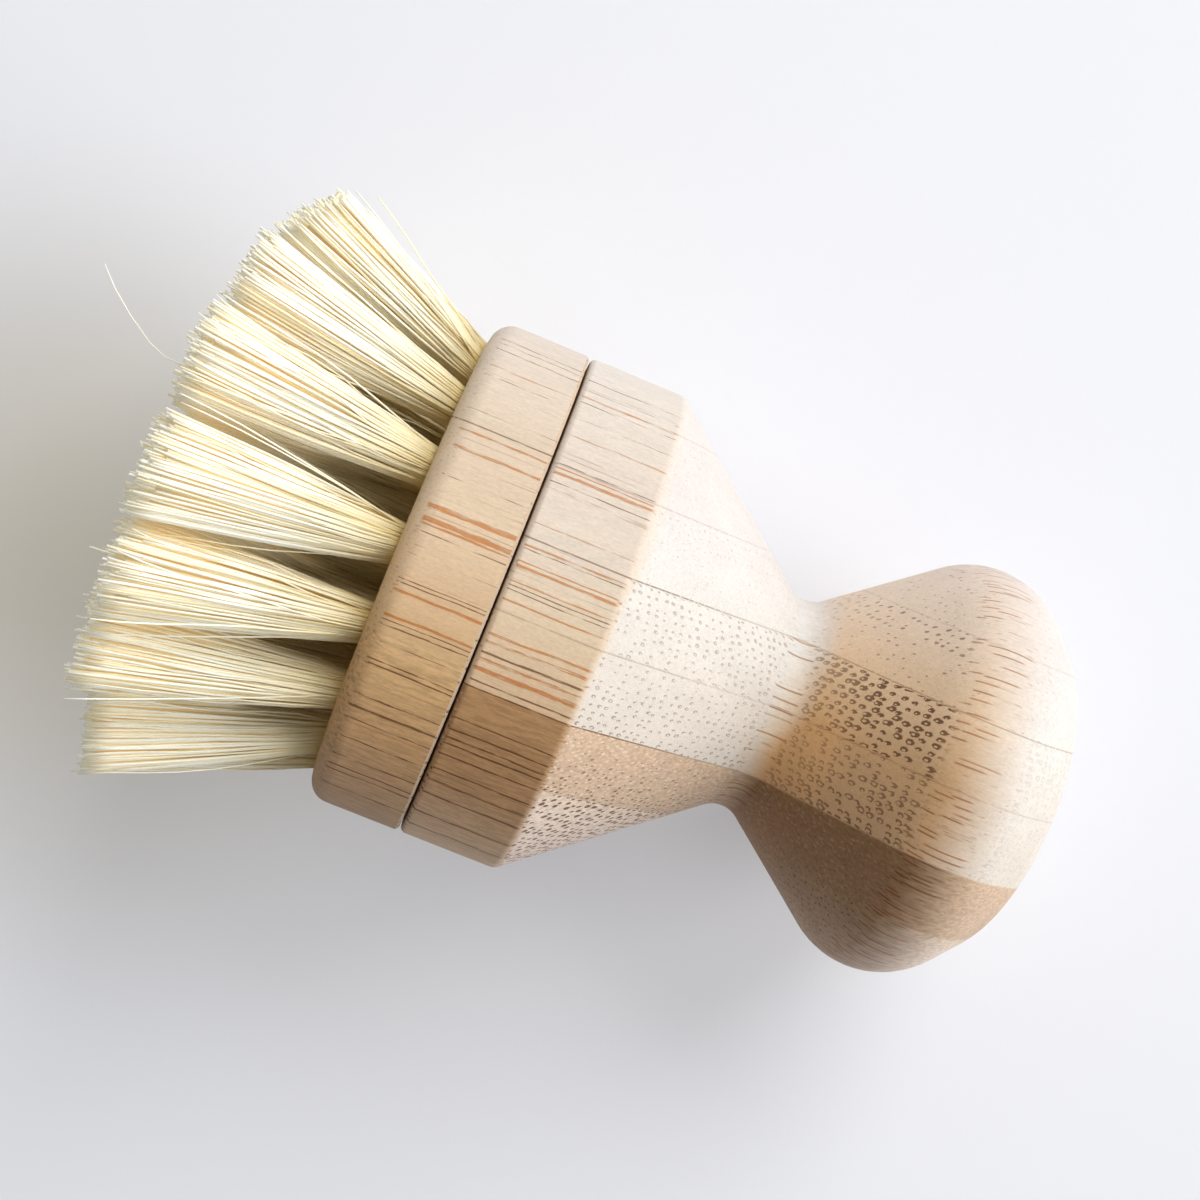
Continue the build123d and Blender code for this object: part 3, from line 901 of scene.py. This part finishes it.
# Tufts that stand a little off their CAD places: by how much at the tip along u and v in mm, the radius
# there in mm, and the slope of the cut
TUFT_CUTS = {
    "tuft_outer_13": (0.6, -0.3, 3.4, 0.40),
    "tuft_outer_14": (1.0, -0.3, 3.0, 0.70),
    "tuft_outer_15": (2.0, 0.8, 3.6, 0.72),
    "tuft_outer_16": (0.3, -0.9, 4.2, 0.12),
    "tuft_outer_17": (-0.4, -0.2, 4.1, 0.12),
    "tuft_outer_01": (-0.1, -0.3, 4.5, 0.12),
    "tuft_outer_02": (-0.1, 1.0, 4.2, 0.12),
    "tuft_outer_03": (-0.9, 2.4, 3.9, 0.12),
    "tuft_outer_04": (1.0, 0.2, 4.0, 0.30),
    "tuft_outer_05": (0.7, 1.9, 3.4, 0.30),
    "tuft_outer_06": (0.0, 0.6, 3.8, 0.20),
}
BLOCK_FACE = min(to_brush([v.co for v in block.data.vertices])[:, 0])
WAVE_COUNT = 4
ACROSS = np.array([0, 1, 1])


def tuft_lines(node_name, rng):
    """Where one tuft runs, how wide it ends and how it is cut, in brush axes."""
    points = to_brush([vertex.co for vertex in frame["nodes"][node_name].data.vertices])
    u = points[:, 0]
    root = points[u > u.max() - 0.5 * MM].mean(axis=0)
    tip = points[u < u.min() + 0.1 * MM].mean(axis=0)
    ring = node_name.split("_")[1]
    usual = (0.0, 0.0, TIP_RADIUS[ring] / MM, TRIM_SLOPE[ring])
    shift_u, shift_v, radius, slope = TUFT_CUTS.get(node_name, usual)
    mouth = root + (tip - root) * (BLOCK_FACE - root[0]) / (tip[0] - root[0])
    way = (tip - mouth) / np.linalg.norm(tip - mouth)
    return {"root": root, "mouth": mouth, "way": way, "radius": radius * MM, "slope": slope,
            "outward": tip[1:] / np.linalg.norm(tip[1:]),
            "tip": tip + way * TRIM_RISE[ring] + np.array([shift_u, shift_v, 0.0]) * MM,
            "waves": rng.uniform(0, 2 * math.pi, WAVE_COUNT)}


print("block face at u", round(BLOCK_FACE / MM, 2), "mm")

# %% [markdown]
# ### The skin
#
# Each fibre of the skin is a path of nine points: the bottom of the hole, its mouth, and seven steps to
# the trimmed end. Chance gives it a place, a slight bow and wave and a length, and makes a few strays and
# broken ends. Sine waves round the tuft crowd the fibres, because chance alone looks too even.

# %% Skin fibres
SKIN_FIBRES = 180
FIBRE_RADIUS = 0.145 * MM
FIBRE_SIDES = 5
SKIN_LAYERS = (0.97, 0.89)
STEPS = np.array([0.0, 0.15, 0.3, 0.45, 0.6, 0.75, 0.9, 1.0])
STRAY_SHARE = 0.09
BROKEN_SHARE = 0.06


def disc(reach, angle):
    """Places across a tuft, this far out from its middle, for a turn about it."""
    return reach[:, None] * np.stack([0 * angle, np.cos(angle), np.sin(angle)], axis=1)


def trimmed(tuft, offset, short):
    """Ends of fibres that stand at these offsets from the middle, cut along the trim."""
    return tuft["tip"] + offset - tuft["way"] * (tuft["slope"] * (offset[:, 1:] @ tuft["outward"])
                                                 + short)[:, None]


def skin_fibres(tuft, rng):
    """Paths and radii of two layers of fibres right round the tuft."""
    count, waves = SKIN_FIBRES, tuft["waves"]
    angle = np.arange(count) * 2 * math.pi / count
    layer = np.where(np.arange(count) % 2 == 0, *SKIN_LAYERS)
    crowd = 0.05 * np.sin(7 * angle + waves[0]) + 0.03 * np.sin(13 * angle + waves[1])
    uneven = 1 + 0.05 * np.sin(3 * angle + waves[2]) + 0.04 * np.sin(5 * angle + waves[3])
    root_offset = disc(layer * (HOLE_RADIUS - FIBRE_RADIUS), angle + rng.normal(0, 0.06, count))
    tip_offset = disc(layer * uneven * tuft["radius"], angle + crowd + rng.normal(0, 0.05, count))
    tip_offset += rng.normal(0, 0.10 * MM, (count, 3)) * ACROSS
    stray = rng.random(count) < STRAY_SHARE
    tip_offset[stray] += rng.normal(0, 1.5 * MM, (stray.sum(), 3)) * ACROSS
    ragged = rng.normal(0, 0.28 * MM, count) + 0.25 * MM * np.sin(7 * angle + waves[0])
    broken = rng.random(count) < BROKEN_SHARE
    ragged[broken] += rng.uniform(0.5 * MM, 3.0 * MM, broken.sum())
    tips = trimmed(tuft, tip_offset, ragged)
    mouths = tuft["mouth"] + root_offset

    bow = rng.normal(0, 0.10 * MM, (count, 3)) * ACROSS + disc(np.full(count, 0.15 * MM), angle)
    wave = rng.normal(0, 0.05 * MM, (count, 3)) * ACROSS
    bow[stray] *= 2.0
    wave[stray] *= 4.0
    path = [tuft["root"] + root_offset, mouths]
    for step in STEPS[1:]:
        straight = mouths + (tips - mouths) * step
        path.append(straight + bow * math.sin(math.pi * step) + wave * math.sin(3 * math.pi * step))
    taper = np.concatenate([[1.0, 1.0], 1.0 - 0.15 * STEPS[1:]])
    radii = FIBRE_RADIUS * taper[None, :] * rng.uniform(0.8, 1.15, count)[:, None]
    radii[stray] *= 0.6
    return np.stack(path, axis=1), radii


print("skin fibres in a tuft:", SKIN_FIBRES)

# %% [markdown]
# ### The core, the ends and the loose fibre
#
# The core is one tube of 24 sides that stops half a millimetre short of the trimmed fibres. On its end,
# short fibres come out at evenly spread spots: each next spot turns by the golden angle, as the seeds of
# a sunflower do, so no rows form. One fibre of the brush has worked loose, and its bends are listed.

# %% Core, ends and loose fibre
END_FIBRES = 90
END_REACH = 0.82
END_STEPS = (0.85, 0.95, 1.0)
GOLDEN_ANGLE = math.pi * (3 - math.sqrt(5))
CORE_SHARE = 0.84
CORE_SHORT = 0.5 * MM
CORE_SIDES = 24
CORE_STEPS = np.array([0.0, 0.25, 0.5, 0.75, 1.0])
# Points of the loose fibre beyond its tuft, in mm along u, v and w
LOOSE_FIBRE = {"tuft_outer_17": ((-31.4, 8.4, 26.0), (-33.2, 8.5, 26.3), (-34.7, 9.1, 26.5),
                                 (-37.0, 10.6, 26.6), (-39.0, 12.2, 26.6), (-40.5, 13.7, 26.4))}
LOOSE_RADIUS = 0.055 * MM


def sunflower(count, turn):
    """Evenly spread spots in a disc of radius 1."""
    order = np.arange(count)
    return disc(np.sqrt((order + 0.5) / count), order * GOLDEN_ANGLE + turn)


def packed_core(tuft):
    """Path and radii of the thick tube inside the skin."""
    tip = tuft["tip"] - tuft["way"] * CORE_SHORT
    path = np.concatenate([[tuft["root"]], tuft["mouth"] + (tip - tuft["mouth"]) * CORE_STEPS[:, None]])
    radii = CORE_SHARE * np.interp(CORE_STEPS, [0.0, 1.0], [HOLE_RADIUS - FIBRE_RADIUS, tuft["radius"]])
    return path[None], np.concatenate([radii[:1], radii])[None]


def end_fibres(tuft, rng):
    """Paths and radii of the short fibres that come out of the core's end."""
    spots = sunflower(END_FIBRES, tuft["waves"][0]) * tuft["radius"] * END_REACH
    spots += rng.normal(0, 0.12 * MM, (END_FIBRES, 3)) * ACROSS
    ends = trimmed(tuft, spots, rng.normal(0, 0.30 * MM, END_FIBRES))
    mouths = tuft["mouth"] + spots * (HOLE_RADIUS / tuft["radius"])
    paths = np.stack([mouths + (ends - mouths) * step for step in END_STEPS], axis=1)
    radii = np.full((END_FIBRES, len(END_STEPS)), FIBRE_RADIUS)
    return paths, radii * rng.uniform(0.75, 1.0, END_FIBRES)[:, None]


def loose_fibre(tuft, bends):
    """Path and radii of the fibre that has worked loose, from its hole through all its bends."""
    bends = np.array(bends) * MM
    path = np.concatenate([[tuft["root"], tuft["mouth"], (tuft["mouth"] + bends[0]) / 2], bends])
    return path[None], np.full((1, len(path)), LOOSE_RADIUS)


print("end fibres in a tuft:", END_FIBRES)

# %% [markdown]
# ### From paths to meshes
#
# A tube is a ring of points about each point of its path, joined by quads and closed at both ends. A
# whole group is built as one array, since a Python loop over a million points takes minutes. The mesh
# gets a "bundle" attribute, which the fibre finish reads: the place across the bundle, and the share of
# the way to the trimmed end. Fibres that would reach into the table are pressed flat just above it.

# %% Tubes
PACKED_SPACING = 0.30 * MM
TABLE_CLEARANCE = 0.05 * MM


def tube_shapes(paths, radii, sides):
    """Points and faces of many tapered tubes; paths is tubes x rings x 3, radii is tubes x rings."""
    count, rings, _ = paths.shape
    along = np.gradient(paths, axis=1)
    along /= np.linalg.norm(along, axis=2, keepdims=True)
    side = np.cross(along, np.array([0.0, 0.0, 1.0]))
    side /= np.linalg.norm(side, axis=2, keepdims=True)
    up = np.cross(side, along)
    angles = np.arange(sides) * 2 * math.pi / sides
    ring = (side[:, :, None] * np.cos(angles)[None, None, :, None]
            + up[:, :, None] * np.sin(angles)[None, None, :, None])
    points = paths[:, :, None] + ring * radii[:, :, None, None]
    index = np.arange(count * rings * sides).reshape(count, rings, sides)
    turn = np.roll(index, -1, axis=2)
    quads = np.stack([index[:, :-1], turn[:, :-1], turn[:, 1:], index[:, 1:]], axis=-1).reshape(-1, 4)
    return points.reshape(-1, 3), quads.tolist() + index[:, 0, ::-1].tolist() + index[:, -1].tolist()


def tuft_mesh(name, groups):
    """One mesh of several groups of tubes; each group is its paths, their rings' shares of the way from
    the hole to the trimmed end, its radii, sides and material."""
    points, faces, picks, spots = [], [], [], []
    for slot, (paths, shares, radii, sides, _) in enumerate(groups):
        start = sum(len(part) for part in points)
        shape, loops = tube_shapes(paths, radii, sides)
        points.append(shape)
        faces += [[start + corner for corner in loop] for loop in loops]
        picks += [slot] * len(loops)
        turn = np.tile(np.arange(sides) * 2 * math.pi / sides, len(shape) // sides)
        rim = radii[0, -1] / PACKED_SPACING
        length = np.tile(np.repeat(shares, sides), len(paths))
        spots.append(np.stack([rim * np.cos(turn), rim * np.sin(turn), length], axis=1))
    places = from_brush(np.concatenate(points))
    places[:, 2] = np.maximum(places[:, 2], TABLE_CLEARANCE)
    mesh = bpy.data.meshes.new(name)
    mesh.from_pydata(places.tolist(), [], faces)
    mesh.polygons.foreach_set("use_smooth", [len(face) == 4 for face in faces])
    for *_, material in groups:
        mesh.materials.append(material)
    mesh.polygons.foreach_set("material_index", picks)
    bundle = mesh.attributes.new("bundle", "FLOAT_VECTOR", "POINT")
    bundle.data.foreach_set("vector", np.concatenate(spots).ravel())
    mesh.update()
    return mesh


print("fibres in the core lie", round(PACKED_SPACING / MM, 2), "mm apart")

# %% [markdown]
# ### Growing all tufts
#
# Each tuft has its own seed, so no two look alike and every run gives the same brush. The new piece
# takes the place of the plain CAD tuft and rides on the head when that is unscrewed.

# %% Tufts


def grow_tuft(node_name, seed):
    """Fibres from the bottom of a tuft's hole to its trimmed end, round a packed core."""
    rng = np.random.default_rng(seed)
    tuft = tuft_lines(node_name, rng)
    skin, skin_radii = skin_fibres(tuft, rng)
    core, core_radii = packed_core(tuft)
    ends, end_radii = end_fibres(tuft, rng)
    groups = [(skin, [0.0, *STEPS], skin_radii, FIBRE_SIDES, fibre_material),
              (ends, END_STEPS, end_radii, FIBRE_SIDES, fibre_material),
              (core, [0.0, *CORE_STEPS], core_radii, CORE_SIDES, packed_material)]
    if node_name in LOOSE_FIBRE:
        loose, radii = loose_fibre(tuft, LOOSE_FIBRE[node_name])
        shares = np.linspace(0.0, 1.0, loose.shape[1])
        groups.append((loose, shares, radii, FIBRE_SIDES, fibre_material))
    mesh = tuft_mesh(node_name.replace("tuft", "fibres"), groups)
    piece = bpy.data.objects.new(mesh.name, mesh)
    bpy.context.scene.collection.objects.link(piece)
    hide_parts(node_name)
    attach(piece, "head")
    return piece


tufts = [grow_tuft(name, seed) for seed, name in enumerate(sorted(frame["nodes"]))
         if name.startswith("tuft_") and name != "tuft_anchors"]
print("tufts:", len(tufts), "fibres:", len(tufts) * (SKIN_FIBRES + END_FIBRES))
